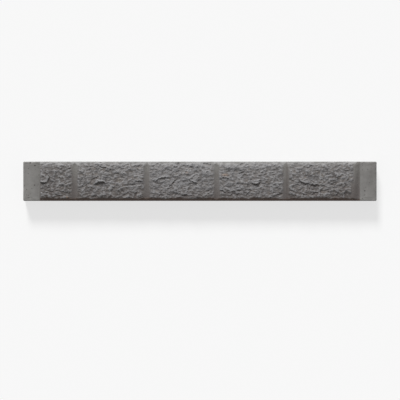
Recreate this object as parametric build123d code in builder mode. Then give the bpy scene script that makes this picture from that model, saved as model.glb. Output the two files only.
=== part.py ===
from build123d import *
import os
from math import sqrt

# A precast concrete retaining wall sleeper whose face is cast as a course of sandstone blocks.
# It lies on its back with the face up: X runs along it, Y up the wall it would be laid in, and Z
# out of the face. The origin is the centre of the back. All sizes are in millimetres.

# The cast unit
length = 1800
course_height = 200
tongue_thickness = 80  # plain ends, which slide between the flanges of a steel post
tongue_length = 85
arris = 4  # chamfer along the back and round the ends

# The block face, which stands proud of the tongues
face_relief = 15  # from the tongues to the crest of the face
crown_rise = 9  # bulge of the face over the whole height of the course
margin_width = 24  # plain margins along the two long edges, which round on from the crown
margin_fall = 9  # how far the margins fall below the crown at the beds
left_shoulder = 70  # slope from the left tongue up to the cut block, in degrees
right_shoulder = 27  # slope of the last joint down to the right tongue, in degrees
shoulder_radius = 6

# The joints between the blocks, hollow and struck along the crown
block_pitch = 357  # from joint to joint
joint_width = 38  # from lip to lip
joint_depth = 4.5
least_block = 60  # the run of blocks ends with a cut block no narrower than this

# Levels above the back, and the circles of the crown and of a joint's hollow
half_length = length / 2
half_height = course_height / 2
crest = tongue_thickness + face_relief
crown_radius = (half_height**2 + crown_rise**2) / (2 * crown_rise)
crown_centre = crest - crown_radius
springing_reach = half_height - margin_width
springing = crown_centre + sqrt(crown_radius**2 - springing_reach**2)
bed_depth = crest - crown_rise - margin_fall
joint_radius = ((joint_width / 2) ** 2 + joint_depth**2) / (2 * joint_depth)

# Places along the run of blocks: half a joint ends it on the right, and a cut block on the left
run_left = tongue_length - half_length
run_right = half_length - tongue_length


def joint_middles():
    """Middle of each hollow joint, from the one nearest to the right-hand end."""
    middles = []
    middle = run_right - joint_width / 2 - block_pitch
    while middle - joint_width / 2 - run_left >= least_block:
        middles.append(middle)
        middle -= block_pitch
    return middles


with BuildPart() as sleeper:
    # Cross-section: square beds, and a crowned face whose margins round off towards them
    with BuildSketch(Plane.YZ) as section:
        with BuildLine():
            crown = ThreePointArc(
                (-springing_reach, springing), (0, crest), (springing_reach, springing)
            )
            margin = TangentArc(crown @ 1, (half_height, bed_depth), tangent=crown % 1)
            mirror(margin, about=Plane.YZ)
            Polyline(
                (half_height, bed_depth),
                (half_height, 0),
                (-half_height, 0),
                (-half_height, bed_depth),
            )
        make_face()
        chamfer(section.vertices().group_by(Axis.Y)[0], length=arris)
    extrude(amount=half_length, both=True)

    # Elevation along the unit: the slab with its tongues, and the run of blocks that stands on it.
    # Only what is inside both outlines is kept.
    with BuildSketch(Plane.XZ) as elevation:
        with Locations((0, tongue_thickness / 2)):
            slab = Rectangle(length, tongue_thickness)
        chamfer(slab.vertices(), length=arris)
        with Locations((0, tongue_thickness)):
            Trapezoid(
                run_right - run_left,
                face_relief,
                left_shoulder,
                right_shoulder,
                align=(Align.CENTER, Align.MIN),
            )
        lips = elevation.vertices().group_by(Axis.Y)[-1]
        feet = elevation.vertices().group_by(Axis.Y)[-2].sort_by(Axis.X)[1:-1]
        fillet(lips + feet, radius=shoulder_radius)
    extrude(amount=half_height, both=True, mode=Mode.INTERSECT)

    # Hollow joints: each is a ring about the crown's own axis, so that it is equally deep all the
    # way and comes to a point where the margins fall away under it
    with Locations([(middle, 0, crown_centre) for middle in joint_middles()]):
        Torus(
            crown_radius - joint_depth + joint_radius,
            joint_radius,
            rotation=(0, 90, 0),
            mode=Mode.SUBTRACT,
        )

    # Upright corners of the two ends
    corners = sleeper.edges().filter_by(Axis.Z)
    chamfer(corners, length=arris)

sleeper.part.label = "sleeper"
os.makedirs("parts", exist_ok=True)
export_step(sleeper.part, "parts/sleeper.step")
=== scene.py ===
"""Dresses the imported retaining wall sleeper, a cast concrete unit with a split sandstone block face.

The unit lies on its back with the face up. X runs along it, Y up the wall it would be laid in, and Z
out of the face. Lengths are in metres where nothing else is said.
"""

import logging
import math
from collections.abc import Mapping, Sequence
from dataclasses import dataclass, field
from enum import Enum, IntEnum, StrEnum, auto

import bpy
import numpy as np
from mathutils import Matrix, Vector
from numpy.typing import NDArray

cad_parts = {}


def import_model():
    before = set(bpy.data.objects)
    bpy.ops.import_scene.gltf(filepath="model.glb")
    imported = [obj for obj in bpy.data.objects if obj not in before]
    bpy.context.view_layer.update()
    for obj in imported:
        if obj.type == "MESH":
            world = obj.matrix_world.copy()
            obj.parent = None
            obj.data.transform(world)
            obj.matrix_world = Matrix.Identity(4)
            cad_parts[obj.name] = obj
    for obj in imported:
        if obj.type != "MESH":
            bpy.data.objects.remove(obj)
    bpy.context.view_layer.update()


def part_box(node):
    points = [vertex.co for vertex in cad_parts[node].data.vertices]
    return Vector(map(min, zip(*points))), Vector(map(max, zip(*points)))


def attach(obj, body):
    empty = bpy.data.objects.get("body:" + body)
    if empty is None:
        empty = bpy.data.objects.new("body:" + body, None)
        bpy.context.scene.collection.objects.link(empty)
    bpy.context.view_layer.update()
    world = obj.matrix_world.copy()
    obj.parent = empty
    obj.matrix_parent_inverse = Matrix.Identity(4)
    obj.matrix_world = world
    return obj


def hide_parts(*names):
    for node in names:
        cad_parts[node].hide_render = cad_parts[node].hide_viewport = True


Array = NDArray[np.float64]
Numbers = NDArray[np.int64]
Range = tuple[float, float]
Colour = tuple[float, float, float]
Socket = bpy.types.NodeSocket

MM = 0.001
BODY = "root"
NODE = "sleeper"
PIECE = "sleeper_unit"
TEXTURE_MAP = "OFBake"  # the texture map that the unit's sides are laid out on

log = logging.getLogger("sleeper")


class Mark(StrEnum):
    """What is noted at each point of the mesh, for the finishes to follow."""

    STONE = auto()
    HOLLOW = auto()
    TONE = auto()
    TONGUE = auto()
    UPPER_MARGIN = auto()
    LOWER_MARGIN = auto()
    RUST = auto()
    DIRT = auto()
    BLEACH = auto()
    RIM = auto()
    STAIN = auto()


def smooth_step(low: float, high: float, value: Array) -> Array:
    """Rises smoothly from 0 where the value is low to 1 where it is high."""
    share = np.clip((value - low) / (high - low), 0.0, 1.0)
    return share * share * (3.0 - 2.0 * share)


class Draw(IntEnum):
    """What each of the numbers drawn for a cell of the stone's grain decides."""

    TURN = 1
    MIDDLE_U = 2
    MIDDLE_V = 3
    SLANT_U = 4
    SLANT_V = 5
    LEVEL = 6


# Factors and shifts that scatter the numbers of neighbouring cells, and the bits that are kept
COLUMN_FACTOR = 374761393
ROW_FACTOR = 668265263
SEED_FACTOR = 1013
DRAW_FACTOR = 974711
STIRS = ((13, 1274126177), (15, 668265263))
LAST_SHIFT = 16
STIRRED_BITS = 0xFFFFFFFF
DRAWN_BITS = 0xFFFFFF

SWELL_GAIN = 1.55  # brings the highest swells to about 1
LAYER_SHIFT = 17.0  # how far apart the layers of a crumple are cut out, in waves


@dataclass(frozen=True)
class StoneGrain:
    """Seeded patterns on a plane, which the splitting of the stone is drawn from.

    Attributes:
        seed: Picks one pattern of all the possible ones.
    """

    seed: int

    def chance(self, column: Numbers, row: Numbers, draw: Draw) -> Array:
        """Draws a number from 0 to 1 for each cell of a square lattice.

        Args:
            column: Cell numbers along X.
            row: Cell numbers along Y.
            draw: Which of a cell's numbers to draw.

        Returns:
            One number for each cell.
        """
        mixed = column * COLUMN_FACTOR + row * ROW_FACTOR
        mixed = (mixed + (self.seed * SEED_FACTOR + draw) * DRAW_FACTOR) & STIRRED_BITS
        for shift, factor in STIRS:
            mixed = ((mixed ^ (mixed >> shift)) * factor) & STIRRED_BITS
        return ((mixed ^ (mixed >> LAST_SHIFT)) & DRAWN_BITS) / (DRAWN_BITS + 1)

    def swell(self, x: Array, y: Array, wave: float) -> Array:
        """Gentle rises and falls of one size.

        Args:
            x: Places along X.
            y: Places along Y.
            wave: Distance from one rise to the next.

        Returns:
            Heights from about -1 to 1.
        """
        u, v = x / wave, y / wave
        column, row = np.floor(u).astype(np.int64), np.floor(v).astype(np.int64)
        du, dv = u - column, v - row
        ease_u, ease_v = (d**3 * (d * (d * 6 - 15) + 10) for d in (du, dv))
        corners = []
        for step_v in (0, 1):
            for step_u in (0, 1):
                turn = 2 * math.pi * self.chance(column + step_u, row + step_v, Draw.TURN)
                corners.append(np.cos(turn) * (du - step_u) + np.sin(turn) * (dv - step_v))
        low = corners[0] + ease_u * (corners[1] - corners[0])
        high = corners[2] + ease_u * (corners[3] - corners[2])
        return SWELL_GAIN * (low + ease_v * (high - low))

    def crumple(self, x: Array, y: Array, wave: float, layers: int, fade: float) -> Array:
        """Rises and falls of several sizes, each half as long as the one before.

        Args:
            x: Places along X.
            y: Places along Y.
            wave: Length of the longest rise.
            layers: How many sizes are added.
            fade: Height of each size beside the one before.

        Returns:
            Heights from about -1 to 1.
        """
        total = np.zeros_like(x)
        weight, whole = 1.0, 0.0
        for layer in range(layers):
            shift = LAYER_SHIFT * layer * wave
            total += weight * self.swell(x + shift, y - shift, wave / 2**layer)
            whole += weight**2
            weight *= fade
        return total / math.sqrt(whole)

    def flakes(self, x: Array, y: Array, size: float, tilt: float) -> Array:
        """Flat chips that lie at odd levels and slants and meet in sharp edges.

        Args:
            x: Places along X.
            y: Places along Y.
            size: About how wide a chip is.
            tilt: Rise of a chip's slant beside its level's range.

        Returns:
            Heights from about -1 to 1.
        """
        u, v = x / size, y / size
        column, row = np.floor(u).astype(np.int64), np.floor(v).astype(np.int64)
        nearest = np.full_like(u, np.inf)
        height = np.zeros_like(u)
        for step_u in (-1, 0, 1):
            for step_v in (-1, 0, 1):
                cell = (column + step_u, row + step_v)
                du = u - cell[0] - self.chance(*cell, Draw.MIDDLE_U)
                dv = v - cell[1] - self.chance(*cell, Draw.MIDDLE_V)
                slant_u = self.chance(*cell, Draw.SLANT_U) - 0.5
                slant_v = self.chance(*cell, Draw.SLANT_V) - 0.5
                level = 2 * self.chance(*cell, Draw.LEVEL) - 1
                plane = level + 2 * tilt * (slant_u * du + slant_v * dv)
                apart = du * du + dv * dv
                closer = apart < nearest
                nearest = np.where(closer, apart, nearest)
                height = np.where(closer, plane, height)
        return height


@dataclass(frozen=True)
class Ripple:
    """How far a line or a surface strays, cut out of the stone's grain.

    Attributes:
        height: About how far it strays to each side.
        wave: Length of its longest rise.
        layers: How many sizes of rise are added.
        fade: Height of each size beside the one before.
        shift: Where in the grain it is cut out, along X and Y.
        squeeze: How much closer together its rises are along Y than along X.
    """

    height: float
    wave: float
    layers: int = 3
    fade: float = 0.6
    shift: tuple[float, float] = (0.0, 0.0)
    squeeze: float = 1.0

    def at(self, grain: StoneGrain, x: Array, y: Array) -> Array:
        """Works out how far each place strays."""
        u, v = x + self.shift[0], self.squeeze * y + self.shift[1]
        return self.height * grain.crumple(u, v, self.wave, self.layers, self.fade)


class LedgeKind(Enum):
    """How a ledge's height is shared out: (standing out above its line, hollowed out below it)."""

    BOSS = (1.0, 0.45)
    SCAR = (0.25, 1.0)


@dataclass(frozen=True)
class Ledge:
    """One large mark of the splitting: a line along which the stone steps back.

    Attributes:
        kind: Whether the stone above the line stands out or the stone below it is hollow.
        x: Middle of the line along the sleeper, in millimetres from its centre.
        drop: Middle of the line below the upper bed, in millimetres.
        half: Half the line's length, in millimetres.
        step: Height of the step, in millimetres.
        reach: How far the step fades out above and below, in millimetres.
        slant: Rise of the line to the right, as a share of its run.
        arch: How much higher its middle is than its ends, in millimetres.
        lip: Half the height over which the stone turns at the line, in millimetres.
        turn: Turn of the whole ledge to the left, in degrees.
    """

    kind: LedgeKind
    x: float
    drop: float
    half: float
    step: float
    reach: float = 9.0
    slant: float = 0.0
    arch: float = 0.0
    lip: float = 1.5
    turn: float = 0.0

    def relief(self, x: Array, y: Array, upper_bed: float) -> tuple[Array, Array]:
        """Works out what this ledge adds to the face.

        Args:
            x: Places along X.
            y: Places along Y.
            upper_bed: Where the upper bed is along Y.

        Returns:
            Heights in metres, and how near each place is to the line, from 0 to 1.
        """
        off, rise = x / MM - self.x, (y - upper_bed) / MM + self.drop
        cos, sin = math.cos(math.radians(self.turn)), math.sin(math.radians(self.turn))
        run, climb = cos * off + sin * rise, cos * rise - sin * off
        along = run / self.half
        span = np.clip(1.0 - along * along, 0.0, 1.0)
        above = climb - self.slant * run - self.arch * (1.0 - along * along)
        side = smooth_step(-self.lip, self.lip, above)
        out, hollow = self.kind.value
        proud = out * side * np.exp(-np.maximum(above, 0.0) / self.reach)
        sunk = hollow * (1.0 - side) * np.exp(np.minimum(above, 0.0) / self.reach)
        near = span * np.exp(-np.abs(above) / self.reach)
        return MM * self.step * span * (proud - sunk), near


BOSS, SCAR = LedgeKind.BOSS, LedgeKind.SCAR

# The marks that stand out most, block by block from the left
LEDGES = (
    Ledge(BOSS, -800, 106, 26, 5.8, 14, slant=-0.06),
    Ledge(SCAR, -770, 95, 20, 4.6, 14, turn=70, arch=3, lip=3),
    Ledge(BOSS, -799, 95, 20, 1.8, 12, lip=4, turn=180),
    Ledge(SCAR, -754, 50, 16, 2.8),
    Ledge(SCAR, -753, 152, 16, 2.6),
    Ledge(SCAR, -692, 155, 17, 2.4),
    Ledge(SCAR, -672, 79, 16, 2.2),
    Ledge(SCAR, -717, 170, 20, 2.0),
    Ledge(BOSS, -507, 121, 31, 6.0, 14, arch=20),
    Ledge(BOSS, -516, 95, 22, 3.4, 14, arch=-3, lip=5, turn=180),
    Ledge(SCAR, -550, 94, 24, 3.6, 16, turn=52, lip=8),
    Ledge(SCAR, -527, 76, 16, 2.6, 8, turn=20),
    Ledge(SCAR, -490, 30, 17, 2.8, slant=-0.2),
    Ledge(SCAR, -523, 36, 11, 2.2),
    Ledge(SCAR, -580, 22, 16, 2.2),
    Ledge(SCAR, -442, 41, 18, 2.4, slant=-0.25),
    Ledge(SCAR, -429, 133, 18, 2.8, arch=3),
    Ledge(SCAR, -534, 176, 20, 2.2),
    Ledge(SCAR, -602, 83, 11, 2.2, 6),
    Ledge(SCAR, -602, 99, 11, 2.2, 6),
    Ledge(SCAR, -582, 122, 13, 2.2),
    Ledge(SCAR, -322, 20, 22, 2.6),
    Ledge(BOSS, -308, 100, 22, 2.8, 12),
    Ledge(SCAR, -396, 32, 11, 2.2),
    Ledge(SCAR, -302, 126, 16, 2.4),
    Ledge(SCAR, -356, 112, 13, 2.2),
    Ledge(BOSS, -190, 95, 42, 4.2, 9, slant=0.22, arch=13),
    Ledge(SCAR, -137, 106, 35, 4.4, 9, turn=42),
    Ledge(SCAR, -153, 132, 18, 2.6, slant=0.4),
    Ledge(SCAR, -233, 19, 18, 2.2, slant=0.3),
    Ledge(SCAR, -243, 41, 12, 2.4),
    Ledge(BOSS, -38, 101, 30, 4.2, 8, slant=-0.4),
    Ledge(SCAR, -78, 171, 19, 4.4, 10, slant=0.3),
    Ledge(SCAR, -100, 69, 6, 2.2, 5),
    Ledge(SCAR, -69, 51, 7, 2.4, 5),
    Ledge(SCAR, -245, 118, 11, 2.2),
    Ledge(SCAR, 44, 115, 18, 2.4),
    Ledge(BOSS, 130, 83, 26, 3.0, 10, slant=-0.2),
    Ledge(BOSS, 285, 107, 24, 7.2, 13, arch=-6),
    Ledge(BOSS, 288, 89, 20, 3.0, 12, arch=5, lip=4, turn=180),
    Ledge(SCAR, 201, 147, 16, 2.2),
    Ledge(SCAR, 115, 152, 20, 3.6, slant=-0.3),
    Ledge(SCAR, 246, 160, 10, 2.4, slant=0.8),
    Ledge(SCAR, 377, 154, 13, 3.0, 7),
    Ledge(SCAR, 292, 42, 13, 2.4, slant=-0.5),
    Ledge(SCAR, 207, 55, 12, 2.6, slant=-0.2),
    Ledge(SCAR, 303, 75, 9, 2.6, slant=-1.0),
    Ledge(SCAR, 327, 146, 12, 2.2),
    Ledge(SCAR, 377, 115, 13, 2.2),
    Ledge(SCAR, 230, 66, 13, 2.2, slant=-0.4),
    Ledge(BOSS, 530, 102, 30, 5.0, 10, slant=-0.3, arch=-4),
    Ledge(SCAR, 579, 122, 27, 5.6, 15, arch=5),
    Ledge(SCAR, 556, 136, 22, 3.2, 9, turn=-80),
    Ledge(SCAR, 560, 23, 17, 3.0, slant=0.5),
    Ledge(SCAR, 670, 102, 38, 2.8, 8, arch=20, turn=180),
    Ledge(SCAR, 664, 80, 34, 2.4, 8, arch=-14, turn=180),
    Ledge(SCAR, 743, 121, 12, 3.0),
    Ledge(SCAR, 747, 43, 13, 2.8, slant=0.15),
    Ledge(SCAR, 657, 26, 15, 2.4, slant=-0.4),
    Ledge(SCAR, 651, 61, 16, 2.4),
    Ledge(SCAR, 712, 77, 13, 2.6),
    Ledge(SCAR, 706, 18, 20, 2.2),
    Ledge(SCAR, 532, 66, 12, 2.2, slant=-0.5),
    Ledge(SCAR, 589, 158, 16, 2.4, arch=4),
    Ledge(SCAR, 683, 174, 11, 2.2),
)


@dataclass(frozen=True)
class Blemish:
    """A spot, streak or patch of another colour on the face.

    Attributes:
        x: Middle along the sleeper, in millimetres from its centre.
        drop: Middle below the upper bed, in millimetres.
        half_length: Half its length, in millimetres.
        half_height: Half its height, in millimetres.
        strength: How strongly it colours the stone, up to 1.
    """

    x: float
    drop: float
    half_length: float
    half_height: float
    strength: float

    def stain(self, x: Array, y: Array, upper_bed: float) -> Array:
        """Works out how strongly this blemish colours each place.

        Args:
            x: Places along X.
            y: Places along Y.
            upper_bed: Where the upper bed is along Y.

        Returns:
            Shares from 0 to 1.
        """
        across = (x / MM - self.x) / self.half_length
        down = ((upper_bed - y) / MM - self.drop) / self.half_height
        return self.strength * np.exp(-(across**2) - down**2)


# Rust spots, dirt and painted shade in the joints and in hollows, and bleached stone, each from the left
BLEMISHES = {
    Mark.RUST: (
        Blemish(-676, 181, 3.6, 3, 1.0),
        Blemish(-66, 56, 8, 5, 0.25),
        Blemish(128, 68, 18, 6, 0.38),
    ),
    Mark.DIRT: (
        Blemish(-762, 52, 13, 11, 0.4),
        Blemish(-742, 148, 24, 16, 0.25),
        Blemish(-650, 95, 8, 50, 0.2),
        Blemish(-640, 155, 15, 65, 0.25),
        Blemish(-548, 90, 14, 18, 0.3),
        Blemish(-470, 178, 60, 13, 0.35),
        Blemish(-300, 22, 24, 8, 0.3),
        Blemish(-15, 181, 48, 13, 0.5),
        Blemish(443, 100, 6, 110, 0.55),
        Blemish(566, 138, 26, 24, 0.38),
        Blemish(726, 138, 40, 26, 0.42),
        Blemish(790, 125, 15, 22, 0.22),
        Blemish(790, 172, 15, 40, 0.3),
    ),
    Mark.BLEACH: (
        Blemish(-775, 20, 26, 11, 0.5),
        Blemish(-699, 20, 26, 9, 0.3),
        Blemish(-328, 121, 26, 20, 0.34),
        Blemish(-78, 92, 26, 20, 0.36),
        Blemish(-25, 20, 45, 10, 0.36),
        Blemish(115, 111, 22, 16, 0.28),
        Blemish(161, 40, 30, 20, 0.38),
        Blemish(300, 20, 75, 10, 0.34),
        Blemish(492, 116, 22, 22, 0.34),
        Blemish(560, 20, 40, 10, 0.38),
    ),
}


@dataclass(frozen=True)
class HollowJoints:
    """The hollow joints between the blocks, each with a plain strip down its middle.

    Attributes:
        grain: Pattern that their edges follow.
        height: Height of the course.
        run_ends: Where the run of blocks ends on the left and on the right.
        pitch: From joint to joint.
        width: Width of a joint from lip to lip.
        depth: Depth of a joint.
        drifts: How far each joint strays from its regular place, from the right.
        hollow_half: Half the width of a hollow with its rounded lips, as a share of the joint's width.
        strip_half: Half the width of a plain strip.
        head_drop: How far below the upper bed a strip starts.
        head_run: How long the rounded head of a strip is.
        foot_flare: How much a strip widens on each side towards the lower bed.
        foot: Where that starts and ends below the upper bed, as shares of the height.
        end_flare: How much more the joint that ends the run widens.
        end_foot: Where that starts and ends, as shares of the height.
        end_gain: How much sooner the stone is full at the left end of the run than at a joint.
        lean: How the joints stray from upright.
        rag: How the edges of the blocks stray.
        rag_fade: How far out over a plain strip they do.
    """

    grain: StoneGrain
    height: float
    run_ends: Range
    pitch: float = 357 * MM
    width: float = 38 * MM
    depth: float = 4.5 * MM
    drifts: tuple[float, ...] = (0.0, -1 * MM, 3 * MM, 5 * MM, -4 * MM)
    hollow_half: float = 0.68
    strip_half: float = 10 * MM
    head_drop: float = 6 * MM
    head_run: float = 18 * MM
    foot_flare: float = 3 * MM
    foot: Range = (0.6, 0.97)
    end_flare: float = 11 * MM
    end_foot: Range = (0.5, 0.62)
    end_gain: float = 2.0
    lean: Ripple = Ripple(2 * MM, 160 * MM, layers=1, shift=(5.7, 0.0))
    rag: Ripple = Ripple(3.2 * MM, 30 * MM, fade=0.7, shift=(3.1, 0.0), squeeze=1.3)
    rag_fade: float = 7 * MM

    def middles(self) -> list[float]:
        """Lists the joints' middles along X, from the joint that ends the run on the right."""
        first = self.run_ends[1] - self.width / 2
        return [first - number * self.pitch + drift for number, drift in enumerate(self.drifts)]

    def place(self, x: Array, y: Array) -> tuple[Array, Array]:
        """Places the joints on the face.

        Args:
            x: Places along X.
            y: Places along Y.

        Returns:
            How far the face sinks, and the distance inside the ragged edge of the nearest block, which
            is below 0 on the plain strips and on the tongues.
        """
        drop = self.height / 2 - y
        reach = np.clip((drop - self.head_drop) / self.head_run, 0.0, 1.0)
        head = np.sqrt(reach * (2.0 - reach))
        flare, end_flare = (
            widest * smooth_step(start * self.height, end * self.height, drop)
            for widest, (start, end) in ((self.foot_flare, self.foot), (self.end_flare, self.end_foot))
        )
        strip = self.strip_half * head + flare
        lean = self.lean.at(self.grain, x, y)
        sink = np.zeros_like(x)
        depth = self.end_gain * (x - self.run_ends[0])
        for number, middle in enumerate(self.middles()):
            off = x - middle - lean
            if number == 0:
                # The run ends on the right with the near side of a joint, which the tongue cuts off
                depth = np.minimum(depth, -off - strip - end_flare)
            else:
                share = np.clip(np.abs(off) / (self.hollow_half * self.width + flare), 0.0, 1.0)
                sink += self.depth * 0.5 * (1.0 + np.cos(math.pi * share))
                depth = np.minimum(depth, np.abs(off) - strip)
        rag = self.rag.at(self.grain, x, y)
        return sink, depth + rag * smooth_step(-self.rag_fade, 0.0, depth)


@dataclass(frozen=True)
class Margins:
    """The plain strips along the beds. In a pair of values the lower margin's comes first.

    Attributes:
        grain: Pattern that they follow.
        height: Height of the course.
        widths: Their widths. The lower one breaks off, and the upper one rounds.
        bends: How gently they turn away from the crown, 1 for a sharp break.
        fall: How far they fall below the crown at the beds.
        strips: Where the split stone starts and where it is full, from each bed.
        corner_round: How much wider the upper margin is at the blocks' corners.
        corner_reach: How far along a block its corners reach.
        wander: How unevenly the margins are cut.
        wander_fade: How far from a bed that sets in.
        wander_shifts: Where in the grain each margin's unevenness is cut out, along Y.
        lumps: Lumps on the margins.
        lump_fade: Where the lumps start to fade and where they are gone, from a bed.
    """

    grain: StoneGrain
    height: float
    widths: Range = (15.5 * MM, 24 * MM)
    bends: Range = (1.1, 1.6)
    fall: float = 9 * MM
    strips: tuple[Range, Range] = ((11 * MM, 16 * MM), (5 * MM, 11 * MM))
    corner_round: float = 5 * MM
    corner_reach: float = 35 * MM
    wander: Ripple = Ripple(7 * MM, 75 * MM, layers=4, fade=0.8)
    wander_fade: float = 8 * MM
    wander_shifts: Range = (0.0, 0.31)
    lumps: Ripple = Ripple(1.3 * MM, 24 * MM, fade=0.7, shift=(7.3, 0.0), squeeze=1.3)
    lump_fade: Range = (12 * MM, 24 * MM)

    def pick(self, pair: Range, y: Array) -> Array:
        """Takes the lower or the upper margin's value for each place."""
        return np.where(y > 0, pair[1], pair[0])

    def line(self, x: Array, y: Array) -> Array:
        """Works out the distance inside the nearer bed, unevenly cut as the margins are.

        Args:
            x: Places along X.
            y: Places along Y.

        Returns:
            Distances, 0 at a bed.
        """
        inside = self.height / 2 - np.abs(y)
        wander = self.wander.at(self.grain, x, self.pick(self.wander_shifts, y))
        return inside + wander * smooth_step(0.0, self.wander_fade, inside)

    def corners(self, depth: Array) -> Array:
        """Tells how near each place is to the end of its block, 1 at its edge."""
        return 1.0 - smooth_step(0.0, self.corner_reach, depth)

    def upper_line(self, margin: Array, depth: Array) -> Array:
        """Rounds the line of the upper margin off at the blocks' corners."""
        return margin - self.corner_round * self.corners(depth)

    def section(self, crown: Array, margin: Array, y: Array) -> Array:
        """Turns the edges of the crown down to the beds."""
        width, bend = self.pick(self.widths, y), self.pick(self.bends, y)
        return crown - self.fall * np.maximum(1.0 - margin / width, 0.0) ** bend

    def stone_share(self, margin: Array, depth: Array, y: Array) -> Array:
        """Tells how far the stone between the margins is split, from 0 to 1."""
        upper = smooth_step(*self.strips[1], self.upper_line(margin, depth))
        return np.where(y > 0, upper, smooth_step(*self.strips[0], margin))


@dataclass(frozen=True)
class Splitting:
    """The rough relief that splitting leaves on the blocks.

    Attributes:
        grain: Pattern of the splitting.
        upper_bed: Where the upper bed is along Y.
        stretch: Scale of the pattern along X and Y. The stone splits along its bed, so its marks are
            longer than they are high.
        warps: How the pattern is warped along X and Y.
        lumps: Size and height of each layer of lumps.
        lump_shift: Where in the grain each further layer is cut out, along X and Y.
        lump_lean: How far a lump leans up the face beside its height.
        flake_height: Range of the flakes' levels to each side.
        flake_size: About how high a flake is.
        flake_stretch: Scale of the flakes along X beside that along Y.
        flake_shift: Where in the grain they are cut out, along X.
        flake_tilt: Rise of a flake's slant beside the range of levels.
        breaks: How raggedly the large marks break off, along X and Y.
        ledge_rise: How much higher than written the ledges are.
        ledge_calm: How much of the lumps a ledge takes away next to it.
    """

    grain: StoneGrain
    upper_bed: float
    stretch: tuple[float, float] = (0.93, 1.32)
    warps: tuple[Ripple, Ripple] = (
        Ripple(6 * MM, 40 * MM, fade=0.55, shift=(0.0, 1.7)),
        Ripple(6 * MM, 40 * MM, fade=0.55, shift=(1.3, 0.0)),
    )
    lumps: tuple[tuple[float, float], ...] = (
        (66 * MM, 3 * MM),
        (38 * MM, 2.7 * MM),
        (22 * MM, 2.2 * MM),
        (13 * MM, 2 * MM),
        (8 * MM, 1.35 * MM),
    )
    lump_shift: tuple[float, float] = (2.9, -1.9)
    lump_lean: float = 0.6
    flake_height: float = 0.9 * MM
    flake_size: float = 15 * MM
    flake_stretch: float = 0.85
    flake_shift: float = 0.7
    flake_tilt: float = 1.3
    breaks: tuple[Ripple, Ripple] = (
        Ripple(6 * MM, 26 * MM, fade=0.6, shift=(0.4, 0.0)),
        Ripple(5.5 * MM, 24 * MM, fade=0.65, shift=(0.0, 0.9)),
    )
    ledge_rise: float = 1.3
    ledge_calm: float = 0.6

    def rough(self, x: Array, y: Array) -> Array:
        """Works out the lumps and flakes.

        Args:
            x: Places along X.
            y: Places along Y.

        Returns:
            Heights.
        """
        grain = self.grain
        u, v = (
            scale * place + warp.at(grain, x, y)
            for scale, place, warp in zip(self.stretch, (x, y), self.warps)
        )
        flake_u = self.flake_stretch * u + self.flake_shift
        relief = np.zeros_like(x)
        # The second time round the lumps lean, so that they are steeper on their upper sides
        for lean in (0.0, self.lump_lean):
            lean_v = v - lean * relief
            relief = self.flake_height * grain.flakes(flake_u, lean_v, self.flake_size, self.flake_tilt)
            for number, (size, height) in enumerate(self.lumps):
                shift_u, shift_v = (number * shift for shift in self.lump_shift)
                relief += height * grain.swell(u + shift_u, lean_v + shift_v, size)
        return relief

    def relief(self, x: Array, y: Array) -> Array:
        """Adds the large marks to the lumps.

        Args:
            x: Places along X.
            y: Places along Y.

        Returns:
            Heights.
        """
        mark_x, mark_y = (
            place + ragged.at(self.grain, x, y) for place, ragged in zip((x, y), self.breaks)
        )
        marks, calm = np.zeros_like(x), np.zeros_like(x)
        for ledge in LEDGES:
            mark, share = ledge.relief(mark_x, mark_y, self.upper_bed)
            marks += self.ledge_rise * mark
            calm = np.maximum(calm, share)
        return self.rough(x, y) * (1.0 - self.ledge_calm * calm) + marks


@dataclass(frozen=True)
class FaceShape:
    """The face, worked out on a grid.

    Attributes:
        x: Places along X.
        y: Places along Y.
        level: Levels above the back.
        stone: How far each place is split stone, from 0 to 1.
        relief: The stone's own relief.
        depth: Distance inside the edge of the nearest block.
        margin: Distance inside the nearer bed, unevenly cut as the margins are.
    """

    x: Array
    y: Array
    level: Array
    stone: Array
    relief: Array
    depth: Array
    margin: Array


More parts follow.
